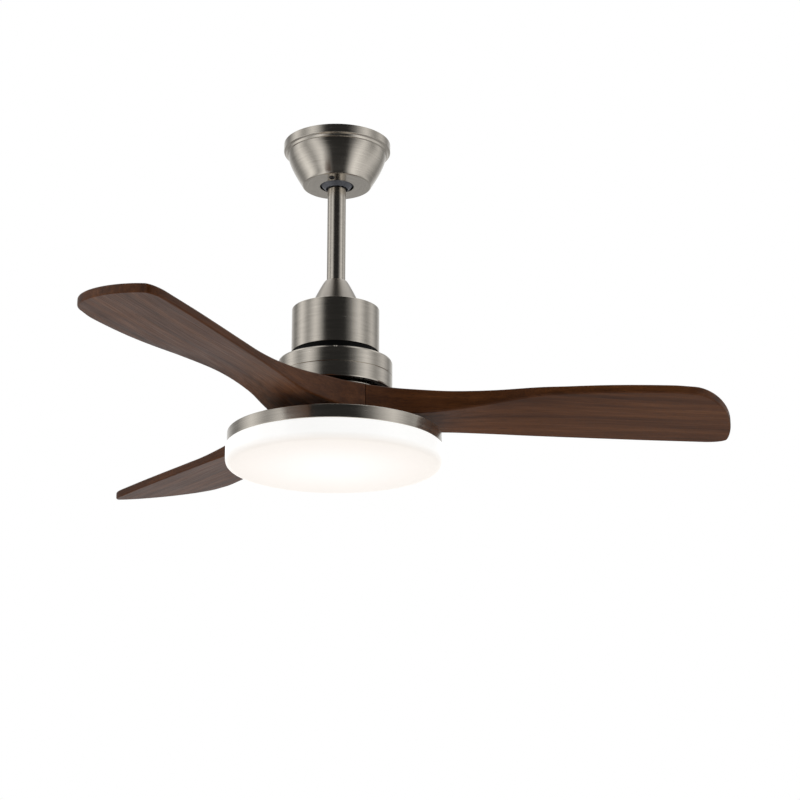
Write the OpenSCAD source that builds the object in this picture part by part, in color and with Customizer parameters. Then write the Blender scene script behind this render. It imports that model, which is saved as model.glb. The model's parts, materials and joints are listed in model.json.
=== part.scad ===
// Ceiling fan with a round LED light: three solid-wood blades turn under a short downrod.
// Millimetres, +Z up. The origin is on the fan's axis, on the face that meets the ceiling.
// An outer-rotor motor turns the blades, and its hollow fixed shaft carries the lamp below them.

/* [Canopy] */
// Radius of the canopy's rim at the ceiling
canopy_rim_r = 72.7; // [72:0.1:75]
// Height of the straight band at the rim
canopy_band_h = 11.3; // [10:0.1:12]
// Radius where the bowl starts under the rim's step
canopy_bowl_r = 67; // [66.5:0.1:68]
// Radius of the flat canopy floor
canopy_floor_r = 45.3; // [45.3:0.1:49]
// Height of the canopy from the ceiling to its floor
canopy_h = 61; // [61:0.1:62]
// Radius of the hole that the ball shows through
canopy_hole_r = 23; // [22.5:0.1:24]
// Wall thickness of the pressed metal covers
sheet = 1.5; // [1.2:0.1:1.6]

/* [Hanger] */
// Radius of the hanger ball
ball_r = 26; // [25.5:0.1:26]
// Depth of the ball's centre below the ceiling
ball_drop = 44; // [44:0.5:45]
// Thickness of the nylon liner round the ball
liner_t = 2.95; // [2.5:0.05:2.95]
// Distance between the two ceiling screw holes
ceiling_screw_span = 88.9; // [84:0.1:92]
// Radius of the two ceiling screw holes
ceiling_hole_r = 2.6; // [2.2:0.1:2.8]

/* [Downrod] */
// Outer radius of the downrod
rod_r = 12.5; // [12:0.1:12.5]
// Wall of the downrod
rod_wall = 1.8; // [1.5:0.1:2.5]
// Length of downrod in sight between canopy and coupling cover
rod_in_sight = 138; // [100:1:300]

/* [Housing] */
// Height of the coupling cover's cone
cover_h = 41; // [40:0.5:44]
// Radius of the coupling cover's foot
cover_foot_r = 36; // [35.5:0.5:38]
// Radius of the upper housing
housing_r = 58.5; // [57:0.1:60]
// Height of the upper housing
housing_h = 61; // [60:1:70]
// Open gap between the housing and the turning motor
motor_gap = 12; // [10:1:14]

/* [Motor] */
// Radius of the motor's two bells
bell_r = 76; // [75:0.1:78]
// Height of the upper bell
upper_bell_h = 21.3; // [21:0.1:22]
// Height of the lower bell
lower_bell_h = 20.7; // [19.5:0.1:21]
// Number of wound stator teeth
teeth = 12; // [9:3:12]
// Number of rotor magnets
magnets = 16; // [14:2:16]
// Outer radius of the hollow motor shaft
shaft_r = 7.5; // [7:0.1:7.5]
// Radius of the wire way through the shaft
shaft_bore_r = 4.5; // [3:0.1:5]

/* [Blades] */
// Radius of the circle that the blade tips sweep
tip_r = 536; // [520:1:560]
// Thickness of the blade at the hub
root_t = 35; // [33:0.1:36]
// Thickness of the blade at the tip
tip_t = 11; // [8:0.1:12]
// How far the leading edge is carved above the trailing edge
blade_rise = 23.9; // [15:0.1:26]
// Angle of the first blade's centre line about the fan's axis
first_blade_angle = 5.2; // [0:0.1:120]
// Radius of the blade screws' heads
blade_screw_head_r = 4.5; // [4:0.1:5]

/* [Lamp] */
// Radius of the lamp pan's metal rim
pan_r = 141; // [141:0.5:142]
// Height of the lamp pan
pan_h = 18.8; // [18.5:0.1:20]
// Radius of the white diffuser
diffuser_r = 143; // [143:0.5:144]
// Height of the diffuser below the pan
diffuser_h = 27; // [26:0.5:32]
// Corner radius round the diffuser's foot
diffuser_corner_r = 9; // [6:0.5:10]
// Wall of the diffuser
diffuser_wall = 2.5; // [2:0.1:3]

/* [Hidden] */
$fn = 72;

// Colours
nickel = [0.62, 0.60, 0.57];
zinc = [0.75, 0.76, 0.78];
dark_steel = [0.25, 0.25, 0.27];
black_plastic = [0.05, 0.05, 0.05];
white_plastic = [0.95, 0.95, 0.93];
walnut = [0.30, 0.18, 0.12];
copper = [0.72, 0.40, 0.20];
board_green = [0.10, 0.35, 0.18];

// Heights of the main faces, from the ceiling down
canopy_z = -canopy_h;
ball_z = -ball_drop;
cover_z = canopy_z - rod_in_sight;
housing_top_z = cover_z - cover_h;
housing_low_z = housing_top_z - housing_h;
motor_top_z = housing_low_z - motor_gap;
seam_z = motor_top_z - upper_bell_h;
motor_low_z = seam_z - lower_bell_h;
hub_h = 6.9;
hub_low_z = motor_low_z - hub_h;
gasket_t = 0.6;
blade_top_z = hub_low_z - gasket_t;
blade_low_z = blade_top_z - root_t;
clamp_t = 2;
clamp_low_z = blade_low_z - clamp_t;
lamp_space = 12.3;
pan_top_z = clamp_low_z - lamp_space;
pan_low_z = pan_top_z - pan_h;
lamp_low_z = pan_low_z - diffuser_h;

// Clearances
running = 0.05;
loose = 0.2;

// Hanger
socket_r = ball_r + liner_t + 2 * running;
bracket_t = 2.5;
bracket_floor_t = 2.4;
bracket_l = 112;
leg_y = 36;
leg_w = 38;
bracket_floor_z = canopy_z + sheet;
socket_low_z = bracket_floor_z + bracket_floor_t;
canopy_screw_r = 33;
canopy_screw_angle = 78;
canopy_screw_shank_r = 1.9;
ball_pin_r = 2.5;
ball_pin_z = ball_z + 14;
ball_screw_r = 2;
ball_screw_z = ball_z + 6;
rod_top_z = ball_z + 27;

// Coupling
rod_low_z = housing_top_z - 10;
yoke_r = 17.5;
yoke_top_z = housing_top_z + 26;
yoke_low_z = housing_top_z - 22;
yoke_flange_r = 34;
yoke_flange_t = 4;
yoke_pin_r = 3;
yoke_pin_z = housing_top_z + 8;
yoke_screw_r = 2.5;
yoke_screw_z = housing_top_z + 18;
housing_screw_ring = 27;
housing_screw_shank_r = 1.6;

driver_z = housing_low_z + 11;
driver_board_t = 1.6;

// Motor
bell_wall_r = bell_r - 5.3;
bell_plate_t = 4.5;
bell_bevel = 3;
boss_r = 21;
boss_h = 14;
race_r = 16;
race_h = 9.5;
race_lip = 5;
shaft_hole_r = shaft_r + 1.5;
stator_r = 65.4;
stator_h = 11;
tooth_w = 8.6;
tooth_root_r = 39;
tooth_tip_r = 61;
coil_t = 2.7;
ball_track_r = 11.8;
bearing_ball_r = 2.45;
bearing_ball_count = 9;
upper_bearing_z = motor_top_z - race_lip - race_h / 2;
lower_bearing_z = motor_low_z + race_lip + race_h / 2;
stator_z = (upper_bearing_z + lower_bearing_z) / 2;
bell_screw_ring = 72.8;
bell_screw_r = 1.3;
hub_r = 58;
hub_neck_r = 40;
hub_neck_h = 2;
hub_flange_r = 66;
hub_flange_t = 2.4;
hub_screw_ring = 28;
hub_screw_r = 2;
blade_screw_r = 2.5;
blade_screw_bite = 4;
clamp_r = 56;
clamp_hole_r = 14;

// Lamp
bracket_disc_r = 40;
bracket_disc_t = 3;
shaft_low_z = pan_top_z - 7;
lamp_screw_ring = 32;
lamp_screw_r = 2;
led_board_r = 120;
led_board_t = 1.6;
led_board_z = pan_top_z - 11.7;
standoff_r = 3;
led_standoff_ring = 95;
lip_t = 1.6;
lip_in = 2;
tab_w = 12;
tab_h = 2;

// Seams between neighbouring blades, in the blade's own frame, and the gap left along them
seam_lead_angle = -64;
seam_trail_angle = 56;
seam_gap = 0.05;
// Leading and trailing edge of a blade: distance from the axis, then distance from the centre line
lead_edge = [[28, -70], [70, -59], [105, -55], [150, -53], [205, -62.5], [270, -86], [350, -105.5],
    [430, -114], [459, -111.5]];
trail_edge = [[46, 61], [70, 46.5], [105, 36], [150, 28], [205, 28], [270, 30.5], [350, 31.5],
    [430, 32], [506, 31]];
// Distances from the axis between which the blade's underside starts to tilt and its wood gets thin
tilt_from_x = 57;
tilt_to_x = 285;
thin_from_x = 50;
thin_to_x = 298;
// Where the leading and trailing corners of the tip start, and the blade's widths there
lead_corner_x = lead_edge[8][0];
lead_corner_y = 10;
lead_corner_power = 1.62;
trail_corner_x = trail_edge[8][0];
trail_corner_y = 20;

// ---------- helpers ----------

// Straight cylinder between two heights
module post(r, low, high) {
    translate([0, 0, low]) cylinder(r = r, h = high - low);
}

// Round tube between two heights
module tube(r_out, r_in, low, high) {
    difference() {
        post(r_out, low, high);
        post(r_in, low - 1, high + 1);
    }
}

// Children repeated round the axis on a ring
module ring_of(count, ring_r, start = 0) {
    for (i = [0:count - 1]) rotate([0, 0, start + i * 360 / count]) translate([ring_r, 0, 0]) children();
}

// Cylinder lying along X or Y, centred on the axis at height z
module cross_x(r, from_x, to_x, z) {
    translate([from_x, 0, z]) rotate([0, 90, 0]) cylinder(r = r, h = to_x - from_x);
}

module cross_y(r, from_y, to_y, z) {
    translate([0, to_y, z]) rotate([90, 0, 0]) cylinder(r = r, h = to_y - from_y);
}

// Upright screw with its head below its shank
module screw_up(shank_r, head_r, head_h, face_z, shank_l) {
    post(head_r, face_z - head_h, face_z);
    post(shank_r, face_z, face_z + shank_l);
}

// Smooth step from 0 to 1 as x goes from a to b
function smooth(x, a, b) = let (t = min(1, max(0, (x - a) / (b - a)))) t * t * (3 - 2 * t);

// Smooth curve through points that rise in x
function slope(p, i) = let (a = max(i - 1, 0), b = min(i + 1, len(p) - 1))
    (p[b][1] - p[a][1]) / (p[b][0] - p[a][0]);
function span(p, x, i = 0) = i >= len(p) - 2 || x < p[i + 1][0] ? i : span(p, x, i + 1);
function curve_at(p, x) = x < p[0][0] ? p[0][1] + slope(p, 0) * (x - p[0][0]) : let (
    i = span(p, x),
    w = p[i + 1][0] - p[i][0],
    t = (x - p[i][0]) / w)
    (1 + 2 * t) * (1 - t) * (1 - t) * p[i][1] + t * (1 - t) * (1 - t) * w * slope(p, i)
    + t * t * (3 - 2 * t) * p[i + 1][1] - t * t * (1 - t) * w * slope(p, i + 1);

// ---------- ceiling side ----------

// Steel bracket: a top plate against the ceiling, two legs and a floor that holds the socket
module ceiling_bracket() {
    color(zinc) difference() {
        union() {
            translate([-bracket_l / 2, -leg_y - bracket_t, -bracket_t])
                cube([bracket_l, 2 * (leg_y + bracket_t), bracket_t]);
            for (side = [0, 1]) mirror([0, side, 0])
                translate([-leg_w / 2, leg_y, bracket_floor_z])
                    cube([leg_w, bracket_t, -bracket_floor_z - 1]);
            post(canopy_floor_r - 2.5, bracket_floor_z, socket_low_z);
        }
        post(socket_r - 2, bracket_floor_z - 1, socket_low_z + 1);
        post(12, -bracket_t - 1, 1);
        for (side = [-1, 1]) translate([side * ceiling_screw_span / 2, 0, 0])
            post(ceiling_hole_r, -bracket_t - 1, 1);
        ring_of(2, canopy_screw_r, canopy_screw_angle)
            post(canopy_screw_shank_r + running, bracket_floor_z - 1, socket_low_z + 1);
    }
}

// Cast ring with the spherical seat
module ball_socket() {
    color(dark_steel) difference() {
        post(socket_r + 1.9, socket_low_z, ball_z + 2);
        translate([0, 0, ball_z]) sphere(r = socket_r);
    }
}

function bowl_r(t) = canopy_bowl_r - (canopy_bowl_r - canopy_floor_r - 2) * pow(t, 1.4);

// Spun metal canopy: band, stepped bead, bowl and flat floor
module canopy() {
    bowl_top = canopy_band_h + 4.6;
    bowl_h = canopy_h - 2.5 - bowl_top;
    outer = concat(
        [[canopy_rim_r, 0], [canopy_rim_r, -canopy_band_h + 1], [canopy_rim_r - 0.4, -canopy_band_h],
            [canopy_rim_r - 1.3, -canopy_band_h - 0.9], [canopy_rim_r - 2.7, -canopy_band_h - 1.3],
            [canopy_rim_r - 3.4, -canopy_band_h - 2], [canopy_rim_r - 3.6, -canopy_band_h - 3.4]],
        [for (i = [0:12]) [bowl_r(i / 12), -bowl_top - bowl_h * i / 12]],
        [[canopy_floor_r + 1.4, canopy_z + 0.8], [canopy_floor_r, canopy_z]]);
    inner = concat(
        [[canopy_floor_r - 1, canopy_z + sheet]],
        [for (i = [12:-1:0]) [bowl_r(i / 12) - sheet, -bowl_top - (bowl_h - 1) * i / 12]],
        [[canopy_rim_r - sheet - 3.6, -canopy_band_h - 1.8], [canopy_rim_r - sheet, -canopy_band_h + 1],
            [canopy_rim_r - sheet, 0]]);
    color(nickel) difference() {
        rotate_extrude() polygon(concat(outer, [[canopy_hole_r, canopy_z], [canopy_hole_r, canopy_z + sheet]],
            inner));
        ring_of(2, canopy_screw_r, canopy_screw_angle)
            post(canopy_screw_shank_r + loose, canopy_z - 1, canopy_z + sheet + 1);
    }
}

module canopy_screws() {
    color(dark_steel) ring_of(2, canopy_screw_r, canopy_screw_angle)
        screw_up(canopy_screw_shank_r, 4, 2, canopy_z, 6.5);
}

// Remote-control receiver on the bracket's rear leg
module receiver_box() {
    color(white_plastic) translate([-20, leg_y + bracket_t, -28]) cube([40, 15, 22]);
}

// Three-way terminal block on the bracket's front leg
module terminal_block() {
    color(white_plastic) difference() {
        translate([-18, -leg_y - bracket_t - 11, -21]) cube([36, 11, 13]);
        for (x = [-12, 0, 12]) translate([x, -leg_y - bracket_t - 5.5, 0]) post(2, -22, -16);
    }
}

// ---------- hanger ball ----------

// Nylon liner that slides in the socket and lets the ball slide in it
module ball_liner() {
    color(white_plastic) intersection() {
        difference() {
            translate([0, 0, ball_z]) sphere(r = ball_r + liner_t + running);
            translate([0, 0, ball_z]) sphere(r = ball_r + running);
        }
        post(2 * ball_r, ball_z - 7.5, ball_z + 4);
    }
}

module hanger_ball() {
    color([0.55, 0.57, 0.60]) difference() {
        translate([0, 0, ball_z]) sphere(r = ball_r);
        post(rod_r + running, ball_z - 2 * ball_r, ball_z + 2 * ball_r);
        post(rod_r + 2.5, ball_z - 2 * ball_r, ball_z - ball_r + 10);
        cross_x(ball_pin_r + running, -ball_r - 1, ball_r + 1, ball_pin_z);
        cross_y(ball_screw_r + running, rod_r - 1, ball_r + 1, ball_screw_z);
    }
}

module ball_pin() {
    color(zinc) cross_x(ball_pin_r, -19, 19, ball_pin_z);
}

module ball_set_screw() {
    color(dark_steel) cross_y(ball_screw_r, rod_r, rod_r + 10, ball_screw_z);
}

module downrod() {
    color(nickel) difference() {
        tube(rod_r, rod_r - rod_wall, rod_low_z, rod_top_z);
        cross_x(ball_pin_r + running, -rod_r - 1, rod_r + 1, ball_pin_z);
        cross_x(yoke_pin_r + running, -rod_r - 1, rod_r + 1, yoke_pin_z);
    }
}

// ---------- coupling and upper housing ----------

function cover_r(t) = yoke_r + (cover_foot_r - yoke_r) * pow(t, 0.93);

// Satin cone that hides the coupling
module coupling_cover() {
    shoulder_h = 4.5;
    cone_h = cover_h - shoulder_h;
    outer = concat(
        [[rod_r + loose, cover_z], [rod_r + 1.9, cover_z - 0.3], [rod_r + 3.6, cover_z - 1.5]],
        [for (i = [0:10]) [cover_r(i / 10), cover_z - shoulder_h - cone_h * i / 10]]);
    inner = concat(
        [for (i = [10:-1:0]) [cover_r(i / 10) - 1.1 * sheet, cover_z - shoulder_h - cone_h * i / 10]],
        [[rod_r + loose, cover_z - 2.5]]);
    color(nickel) rotate_extrude() polygon(concat(outer, inner));
}

// Machined coupling: rod socket above, flange for the housing, threaded bore for the shaft below
module motor_yoke() {
    flange_z = housing_top_z - sheet;
    color(zinc) difference() {
        union() {
            post(yoke_r, yoke_low_z, yoke_top_z);
            post(yoke_flange_r, flange_z - yoke_flange_t, flange_z);
        }
        post(rod_r + running, rod_low_z, yoke_top_z + 1);
        post(shaft_r + running, yoke_low_z - 1, rod_low_z + 1);
        cross_x(yoke_pin_r + running, -yoke_r - 1, yoke_r + 1, yoke_pin_z);
        for (side = [0, 1]) mirror([0, side, 0])
            cross_y(yoke_screw_r + running, rod_r - 1, yoke_r + 1, yoke_screw_z);
        ring_of(3, housing_screw_ring, 30)
            post(housing_screw_shank_r + running, flange_z - yoke_flange_t - 1, flange_z + 1);
    }
}

module yoke_pin() {
    color(zinc) difference() {
        union() {
            cross_x(yoke_pin_r, -yoke_r - 4, yoke_r, yoke_pin_z);
            cross_x(yoke_pin_r + 1.6, yoke_r, yoke_r + 2.4, yoke_pin_z);
        }
        translate([-yoke_r - 2, 0, 0]) post(1, yoke_pin_z - 5, yoke_pin_z + 5);
    }
}

// Straight leg of the clip that keeps the pin in
module yoke_pin_clip() {
    color(zinc) translate([-yoke_r - 2, 0, 0]) post(0.95, yoke_pin_z - 6, yoke_pin_z + 6);
}

module yoke_set_screws() {
    color(dark_steel) for (side = [0, 1]) mirror([0, side, 0])
        cross_y(yoke_screw_r, rod_r, yoke_r + 2, yoke_screw_z);
}

module housing_shell() {
    edge = 1.2;
    color(nickel) difference() {
        rotate_extrude() polygon([[yoke_r + loose, housing_top_z], [housing_r - edge, housing_top_z],
            [housing_r - 0.35 * edge, housing_top_z - 0.35 * edge], [housing_r, housing_top_z - edge],
            [housing_r, housing_low_z + edge], [housing_r - edge, housing_low_z],
            [housing_r - sheet - 0.3, housing_low_z], [housing_r - sheet, housing_low_z + edge],
            [housing_r - sheet, housing_top_z - sheet], [yoke_r + loose, housing_top_z - sheet]]);
        ring_of(3, housing_screw_ring, 30)
            post(housing_screw_shank_r + loose, housing_top_z - sheet - 1, housing_top_z + 1);
    }
}

module housing_screws() {
    color(dark_steel) ring_of(3, housing_screw_ring, 30) {
        post(3, housing_top_z, housing_top_z + 2);
        post(housing_screw_shank_r, housing_top_z - sheet - yoke_flange_t, housing_top_z);
    }
}

// Black disc that closes the housing, with the collar seen in the gap above the motor
module housing_base() {
    disc_top = housing_low_z + 2.6;
    disc_low = housing_low_z + 0.5;
    collar_r = housing_r - 0.8;
    collar_top = housing_low_z - 0.4;
    collar_low = motor_top_z + 1.5;
    color(black_plastic) rotate_extrude() polygon([[shaft_r + running, disc_top],
        [housing_r - sheet - 0.3, disc_top], [housing_r - sheet - 0.3, collar_top], [collar_r, collar_top],
        [collar_r, collar_low], [collar_r - 2, collar_low], [collar_r - 2, disc_low],
        [shaft_r + 4, disc_low], [shaft_r + 4, collar_low], [shaft_r + running, collar_low]]);
}

module driver_standoffs() {
    color(zinc) ring_of(4, 46, 45) post(standoff_r, housing_low_z + 2.6, driver_z);
}

// Round motor-drive circuit board
module driver_board() {
    color(board_green) tube(50, 14, driver_z, driver_z + driver_board_t);
}

// Capacitors, choke, power transistors and plugs on the board
module driver_components() {
    face = driver_z + driver_board_t;
    for (side = [0, 1]) mirror([side, 0, 0]) {
        color(dark_steel) translate([32, 10, 0]) post(7.5, face, face + 18);
        color(black_plastic) translate([24, -18, face]) cube([12, 6, 9]);
    }
    color(copper) translate([0, 34, 0]) tube(9, 4.5, face, face + 8);
    color(white_plastic) for (x = [-16, -4, 8]) translate([x, -38, face]) cube([8, 6, 7]);
}

// ---------- motor ----------

module motor_shaft() {
    color(zinc) tube(shaft_r, shaft_bore_r, shaft_low_z, rod_low_z - 1);
}

// Hexagon nut on the hollow shaft
module shaft_nut(top_z) {
    color(zinc) difference() {
        translate([0, 0, top_z - 6]) cylinder(r = 12, h = 6, $fn = 6);
        post(shaft_r + running, top_z - 7, top_z + 1);
    }
}

module shaft_lock_nut() {
    shaft_nut(yoke_low_z);
}

module shaft_end_nut() {
    shaft_nut(pan_top_z);
}

// Ball track cut into both races
module ball_track() {
    rotate_extrude() translate([ball_track_r, 0]) circle(r = bearing_ball_r + running);
}

module bearing_inner_races() {
    color(zinc) for (z = [upper_bearing_z, lower_bearing_z]) translate([0, 0, z]) difference() {
        tube(10.4, shaft_r, -race_h / 2 + 0.6, race_h / 2 - 0.6);
        ball_track();
    }
}

module bearing_outer_races() {
    color(zinc) for (z = [upper_bearing_z, lower_bearing_z]) translate([0, 0, z]) difference() {
        tube(race_r, 13.2, -race_h / 2, race_h / 2);
        ball_track();
    }
}

module bearing_balls() {
    color(zinc) for (z = [upper_bearing_z, lower_bearing_z])
        ring_of(bearing_ball_count, ball_track_r) translate([0, 0, z]) sphere(r = bearing_ball_r);
}

// Laminated stator: a disc with slots between its teeth
module stator_core() {
    root_y = tooth_root_r * tan(180 / teeth) - tooth_w / 2;
    tip_y = tooth_tip_r * tan(180 / teeth) - tooth_w / 2;
    mouth = 3;
    color(dark_steel) translate([0, 0, stator_z - stator_h / 2]) difference() {
        cylinder(r = stator_r, h = stator_h);
        translate([0, 0, -1]) cylinder(r = shaft_r + running, h = stator_h + 2);
        translate([0, 0, -1]) for (i = [0:teeth - 1]) rotate([0, 0, (i + 0.5) * 360 / teeth])
            linear_extrude(stator_h + 2) {
                polygon([[tooth_root_r, -root_y], [tooth_tip_r, -tip_y], [tooth_tip_r, tip_y],
                    [tooth_root_r, root_y]]);
                translate([tooth_tip_r - 1, -mouth / 2]) square([8, mouth]);
            }
    }
}

// One coil wound round each tooth
module stator_windings() {
    window = tooth_w + 4 * loose;
    coil_l = 14;
    color(copper) for (i = [0:teeth - 1]) rotate([0, 0, i * 360 / teeth])
        translate([tooth_root_r + 3, 0, stator_z]) difference() {
            translate([0, -tooth_w / 2 - coil_t, -stator_h / 2 - coil_t])
                cube([coil_l, tooth_w + 2 * coil_t, stator_h + 2 * coil_t]);
            translate([-1, -window / 2, -stator_h / 2 - loose])
                cube([coil_l + 2, window, stator_h + 2 * loose]);
        }
}

module rotor_magnets() {
    gap = 3;
    color(dark_steel) difference() {
        tube(bell_wall_r, stator_r + 0.8, stator_z - 9, stator_z + 9);
        for (i = [0:magnets / 2 - 1]) rotate([0, 0, i * 360 / magnets])
            translate([-bell_r, -gap / 2, stator_z - 10]) cube([2 * bell_r, gap, 20]);
    }
}

// Upper bell: bevelled rim with three index notches, and the pocket for the upper bearing
module rotor_upper_bell() {
    boss_z = motor_top_z - boss_h;
    color(nickel) difference() {
        rotate_extrude() polygon([[shaft_hole_r, motor_top_z], [bell_r - bell_bevel, motor_top_z],
            [bell_r - 0.9, motor_top_z - 0.9], [bell_r, motor_top_z - bell_bevel], [bell_r, seam_z + 0.5],
            [bell_r - 0.5, seam_z], [bell_wall_r, seam_z], [bell_wall_r, motor_top_z - bell_plate_t],
            [boss_r, motor_top_z - bell_plate_t], [boss_r, boss_z], [race_r, boss_z],
            [race_r, motor_top_z - race_lip], [shaft_hole_r, motor_top_z - race_lip]]);
        ring_of(3, bell_r - 0.8, 30) post(2.4, motor_top_z - 2.6, motor_top_z + 1);
        ring_of(6, bell_screw_ring, 0) post(bell_screw_r, seam_z - 1, seam_z + 8);
    }
}

// Lower bell: mirror of the upper one, drilled for the bell screws and the hub screws
module rotor_lower_bell() {
    boss_z = motor_low_z + boss_h;
    color(nickel) difference() {
        rotate_extrude() polygon([[bell_wall_r, seam_z], [bell_r - 0.5, seam_z], [bell_r, seam_z - 0.5],
            [bell_r, motor_low_z + 2], [bell_r - 0.6, motor_low_z + 0.6], [bell_r - 2, motor_low_z],
            [shaft_hole_r, motor_low_z], [shaft_hole_r, motor_low_z + race_lip],
            [race_r, motor_low_z + race_lip], [race_r, boss_z], [boss_r, boss_z],
            [boss_r, motor_low_z + bell_plate_t], [bell_wall_r, motor_low_z + bell_plate_t]]);
        ring_of(6, bell_screw_ring, 0) {
            post(bell_screw_r + loose, motor_low_z - 1, seam_z + 1);
            post(2.4, motor_low_z - 1, motor_low_z + 2.2);
        }
        ring_of(3, hub_screw_ring, 56) post(hub_screw_r + running, motor_low_z - 1, motor_low_z + 5);
    }
}

module bell_screws() {
    color(dark_steel) ring_of(6, bell_screw_ring, 0) {
        post(2.2, motor_low_z + 0.4, motor_low_z + 2.2);
        post(bell_screw_r, motor_low_z + 2.2, seam_z + 7);
    }
}

// ---------- blades ----------

// Where the three screws of one blade stand: distance from the axis and angle in the blade's frame
blade_screw_spots = [[36, -8], [46, 22], [46, -38]];

module at_blade_screws() {
    for (k = [0:2]) for (spot = blade_screw_spots)
        rotate([0, 0, first_blade_angle + 120 * k + spot[1]]) translate([spot[0], 0, 0]) children();
}

// Hub between the motor and the blades, with a bright flange on a narrower neck
module hub_plate() {
    edge = 0.8;
    flange_z = motor_low_z - hub_neck_h;
    color(nickel) difference() {
        rotate_extrude() polygon([[clamp_hole_r, motor_low_z], [hub_neck_r, motor_low_z],
            [hub_neck_r, flange_z], [hub_flange_r - edge, flange_z], [hub_flange_r, flange_z - edge],
            [hub_flange_r, flange_z - hub_flange_t + edge], [hub_flange_r - edge, flange_z - hub_flange_t],
            [hub_r, flange_z - hub_flange_t], [hub_r, hub_low_z], [clamp_hole_r, hub_low_z]]);
        ring_of(3, hub_screw_ring, 56) {
            post(hub_screw_r + loose, hub_low_z - 1, motor_low_z + 1);
            post(4, hub_low_z - 1, hub_low_z + 3.5);
        }
        at_blade_screws() post(blade_screw_r + running, hub_low_z - 1, hub_low_z + blade_screw_bite + 0.5);
    }
}

module hub_screws() {
    color(dark_steel) ring_of(3, hub_screw_ring, 56) {
        post(3.8, hub_low_z + 0.4, hub_low_z + 3.5);
        post(hub_screw_r, hub_low_z + 3.5, motor_low_z + 3);
    }
}

// Thin rubber ring that keeps the wood off the metal
module blade_gasket() {
    color(black_plastic) difference() {
        tube(clamp_r, clamp_hole_r, blade_top_z, hub_low_z);
        at_blade_screws() post(blade_screw_r + loose, blade_top_z - 1, hub_low_z + 1);
    }
}

// Edges of the blade at distance x from the axis; the tip's corners are parts of rounded squares
function lead_y(x) = x <= lead_corner_x ? curve_at(lead_edge, x) : let (
    t = min(1, (x - lead_corner_x) / (tip_r - lead_corner_x)))
    lead_corner_y + (lead_edge[8][1] - lead_corner_y)
        * pow(1 - pow(t, lead_corner_power), 1 / lead_corner_power);
function trail_y(x) = x <= trail_corner_x ? curve_at(trail_edge, x) : let (
    t = min(1, (x - trail_corner_x) / (tip_r - trail_corner_x)))
    trail_corner_y + (trail_edge[8][1] - trail_corner_y) * sqrt(1 - t * t);
function blade_t(x) = root_t + (tip_t - root_t) * smooth(x, thin_from_x, thin_to_x);
// Underside: flat at the hub, tilted across the full chord further out, with no regard to the tip's corners
function low_z(x, y) = let (
    a = curve_at(trail_edge, min(x, trail_corner_x)),
    b = curve_at(lead_edge, min(x, lead_corner_x)))
    blade_low_z + blade_rise * smooth(x, tilt_from_x, tilt_to_x) * (a - y) / (a - b);

// One closed cross-section of the blade, as points from the trailing edge round to it again
function blade_section(x) = let (
    a = trail_y(x),
    b = lead_y(x),
    t = blade_t(x),
    e = min(3, 0.3 * (a - b)),
    across = [a - e, a - (a - b) / 3, b + (a - b) / 3, b + e])
    concat(
        [[x, a, low_z(x, a) + e]],
        [for (y = across) [x, y, low_z(x, y)]],
        [[x, b, low_z(x, b) + e], [x, b, low_z(x, b) + t - e]],
        [for (i = [3:-1:0]) [x, across[i], low_z(x, across[i]) + t]],
        [[x, a, low_z(x, a) + t - e]]);

module blade_body() {
    stations = concat(
        [for (i = [0:27]) 4 + 16 * i],
        [for (turn = [10:10:90]) 436 + (tip_r - 436) * sin(turn)]);
    sections = [for (x = stations) blade_section(x)];
    n = len(sections[0]);
    last = len(sections) - 1;
    sides = [for (i = [0:last - 1]) for (j = [0:n - 1]) each let (
        a = i * n + j,
        b = i * n + (j + 1) % n) [[a, b, b + n], [a, b + n, a + n]]];
    caps = [[for (j = [n - 1:-1:0]) j], [for (j = [0:n - 1]) last * n + j]];
    polyhedron(points = [for (s = sections) each s], faces = concat(sides, caps));
}

// Solid-wood blade: carved body, mitred root, centre hole and three screw holes
module blade(k) {
    color(walnut) rotate([0, 0, first_blade_angle + 120 * k]) difference() {
        intersection() {
            blade_body();
            translate([0, 0, blade_low_z - 5]) linear_extrude(root_t + 15) polygon([
                seam_gap * [1.2, -0.2],
                700 * [cos(seam_lead_angle), sin(seam_lead_angle)] + seam_gap * [1, 0.4],
                [900, 0],
                700 * [cos(seam_trail_angle), sin(seam_trail_angle)] + seam_gap * [0.8, -0.6]]);
        }
        post(clamp_hole_r, blade_low_z - 1, blade_top_z + 1);
        for (spot = blade_screw_spots) rotate([0, 0, spot[1]]) translate([spot[0], 0, 0])
            post(blade_screw_r + loose, blade_low_z - 1, blade_top_z + 1);
    }
}

module blade_1() {
    blade(0);
}

module blade_2() {
    blade(1);
}

module blade_3() {
    blade(2);
}

// Steel disc that clamps the blade roots from below
module clamp_plate() {
    color(dark_steel) difference() {
        tube(clamp_r, clamp_hole_r, clamp_low_z, blade_low_z);
        at_blade_screws() post(blade_screw_r + loose, clamp_low_z - 1, blade_low_z + 1);
    }
}

module blade_screws() {
    color(zinc) at_blade_screws()
        screw_up(blade_screw_r, blade_screw_head_r, 2.5, clamp_low_z,
            hub_low_z + blade_screw_bite - clamp_low_z);
}

// ---------- lamp ----------

// Disc on the shaft's foot that carries the lamp pan
module light_bracket() {
    color(zinc) difference() {
        post(bracket_disc_r, pan_top_z, pan_top_z + bracket_disc_t);
        post(shaft_r + running, pan_top_z - 1, pan_top_z + bracket_disc_t + 1);
        ring_of(3, lamp_screw_ring, 30)
            post(lamp_screw_r + running, pan_top_z - 1, pan_top_z + bracket_disc_t + 1);
    }
}

module light_bracket_screws() {
    color(dark_steel) ring_of(3, lamp_screw_ring, 30)
        screw_up(lamp_screw_r, 3.8, 2.2, pan_top_z - sheet, sheet + bracket_disc_t);
}

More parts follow.
